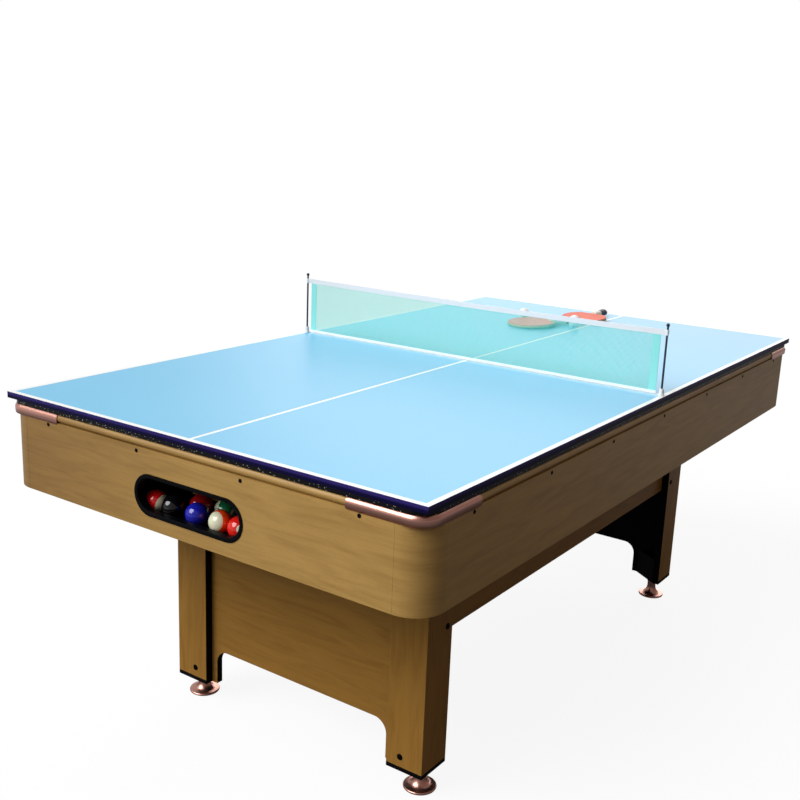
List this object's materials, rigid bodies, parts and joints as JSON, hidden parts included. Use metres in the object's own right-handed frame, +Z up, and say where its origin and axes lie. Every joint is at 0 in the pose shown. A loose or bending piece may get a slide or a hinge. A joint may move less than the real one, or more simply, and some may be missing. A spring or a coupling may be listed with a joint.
{
  "type": "multi game table",
  "caption": "Pool table with ball window, pockets and ball return under a lift-off table-tennis top with net, bats and balls",
  "frame": {"origin": "on the floor under the middle of the table", "axes": "+Z up, +Y along the table's length away from the end with the ball window, +X to the right seen from that end"},
  "size_m": [1.1722, 2.1382, 1.028],
  "materials": {
    "playing_blue": "matt painted board with white lines",
    "post_metal": "dark painted rod on a pale foot",
    "net_mesh": "open mesh with white tape",
    "bat": "plywood blade with a pale handle",
    "white_ball": "matt",
    "beech_rail": "satin foil with a black laminate top",
    "beech": "satin wood-grain foil",
    "beech_shaded": "satin wood-grain foil outside, black inside",
    "copper": "polished copper",
    "cloth_on_board": "board under blue cloth",
    "cushion": "rubber under blue cloth",
    "black_plastic": "fine texture",
    "ball_red": "polished",
    "ball_black": "polished",
    "ball_blue": "polished",
    "ball_orange": "polished",
    "ball_crimson": "polished",
    "ball_maroon": "polished",
    "ball_green": "polished"
  },
  "bodies": {
    "table": {"rail_front": "beech_rail", "rail_back": "beech_rail", "rail_left": "beech_rail", "rail_right": "beech_rail", "corner_cap_front_left": "copper", "corner_cap_front_right": "copper", "corner_cap_back_left": "copper", "corner_cap_back_right": "copper", "apron_front": "beech", "apron_back": "beech", "apron_left": "beech", "apron_right": "beech", "corner_post_front_left": "beech", "corner_post_front_right": "beech", "corner_post_back_left": "beech", "corner_post_back_right": "beech", "playfield_bed": "cloth_on_board", "cushion_front": "cushion", "cushion_back": "cushion", "cushion_left_front": "cushion", "cushion_left_back": "cushion", "cushion_right_front": "cushion", "cushion_right_back": "cushion", "pocket_front_left": "black_plastic", "pocket_front_right": "black_plastic", "pocket_back_left": "black_plastic", "pocket_back_right": "black_plastic", "pocket_middle_left": "black_plastic", "pocket_middle_right": "black_plastic", "ball_runner": "black_plastic", "ball_box": "black_plastic", "window_bezel": "black_plastic", "leg_front_left": "beech", "leg_front_right": "beech", "leg_back_left": "beech", "leg_back_right": "beech", "end_panel_front": "beech_shaded", "end_panel_back": "beech_shaded", "side_beam_left": "beech_shaded", "side_beam_right": "beech_shaded"},
    "board_front": {"tennis_board_front": "playing_blue"},
    "board_back": {"tennis_board_back": "playing_blue"},
    "net_set": {"net": "net_mesh", "net_post_left": "post_metal", "net_post_right": "post_metal"},
    "bat_one": {"bat_left": "bat"},
    "bat_two": {"bat_right": "bat"},
    "tennis_ball_one": {"tennis_ball_left": "white_ball"},
    "tennis_ball_two": {"tennis_ball_right": "white_ball"},
    "pool_red_stripe": {"pool_ball_red_stripe": "ball_red"},
    "pool_black": {"pool_ball_black": "ball_black"},
    "pool_blue": {"pool_ball_blue": "ball_blue"},
    "pool_orange_stripe": {"pool_ball_orange_stripe": "ball_orange"},
    "pool_crimson_stripe": {"pool_ball_crimson_stripe": "ball_crimson"},
    "pool_maroon": {"pool_ball_maroon": "ball_maroon"},
    "pool_green_stripe": {"pool_ball_green_stripe": "ball_green"},
    "foot_front_left": {"leveller_front_left": "copper"},
    "foot_front_right": {"leveller_front_right": "copper"},
    "foot_back_left": {"leveller_back_left": "copper"},
    "foot_back_right": {"leveller_back_right": "copper"}
  },
  "joints": [
    {"name": "board_front_lift", "type": "slide", "parent": "table", "child": "board_front", "axis": [0, 0, 1], "range_m": [0, 0.15]},
    {"name": "board_back_lift", "type": "slide", "parent": "table", "child": "board_back", "axis": [0, 0, 1], "range_m": [0, 0.15]},
    {"name": "net_lift", "type": "slide", "parent": "board_front", "child": "net_set", "axis": [0, 0, 1], "range_m": [0, 0.06]},
    {"name": "bat_left_lift", "type": "slide", "parent": "board_back", "child": "bat_one", "axis": [0, 0, 1], "range_m": [0, 0.1]},
    {"name": "bat_right_lift", "type": "slide", "parent": "board_back", "child": "bat_two", "axis": [0, 0, 1], "range_m": [0, 0.1]},
    {"name": "tennis_ball_left_lift", "type": "slide", "parent": "board_back", "child": "tennis_ball_one", "axis": [0, 0, 1], "range_m": [0, 0.1]},
    {"name": "tennis_ball_right_lift", "type": "slide", "parent": "board_back", "child": "tennis_ball_two", "axis": [0, 0, 1], "range_m": [0, 0.1]},
    {"name": "red_stripe_lift", "type": "slide", "parent": "table", "child": "pool_red_stripe", "axis": [0, 0, 1], "range_m": [0, 0.02]},
    {"name": "black_lift", "type": "slide", "parent": "table", "child": "pool_black", "axis": [0, 0, 1], "range_m": [0, 0.02]},
    {"name": "blue_lift", "type": "slide", "parent": "table", "child": "pool_blue", "axis": [0, 0, 1], "range_m": [0, 0.02]},
    {"name": "orange_stripe_lift", "type": "slide", "parent": "table", "child": "pool_orange_stripe", "axis": [0, 0, 1], "range_m": [0, 0.02]},
    {"name": "crimson_stripe_lift", "type": "slide", "parent": "table", "child": "pool_crimson_stripe", "axis": [0, 0, 1], "range_m": [0, 0.02]},
    {"name": "maroon_lift", "type": "slide", "parent": "table", "child": "pool_maroon", "axis": [0, 0, 1], "range_m": [0, 0.02]},
    {"name": "green_stripe_lift", "type": "slide", "parent": "table", "child": "pool_green_stripe", "axis": [0, 0, 1], "range_m": [0, 0.02]},
    {"name": "leveller_front_left_screw", "type": "slide", "parent": "table", "child": "foot_front_left", "axis": [0, 0, 1], "range_m": [-0.02, 0]},
    {"name": "leveller_front_right_screw", "type": "slide", "parent": "table", "child": "foot_front_right", "axis": [0, 0, 1], "range_m": [-0.02, 0]},
    {"name": "leveller_back_left_screw", "type": "slide", "parent": "table", "child": "foot_back_left", "axis": [0, 0, 1], "range_m": [-0.02, 0]},
    {"name": "leveller_back_right_screw", "type": "slide", "parent": "table", "child": "foot_back_right", "axis": [0, 0, 1], "range_m": [-0.02, 0]}
  ]
}
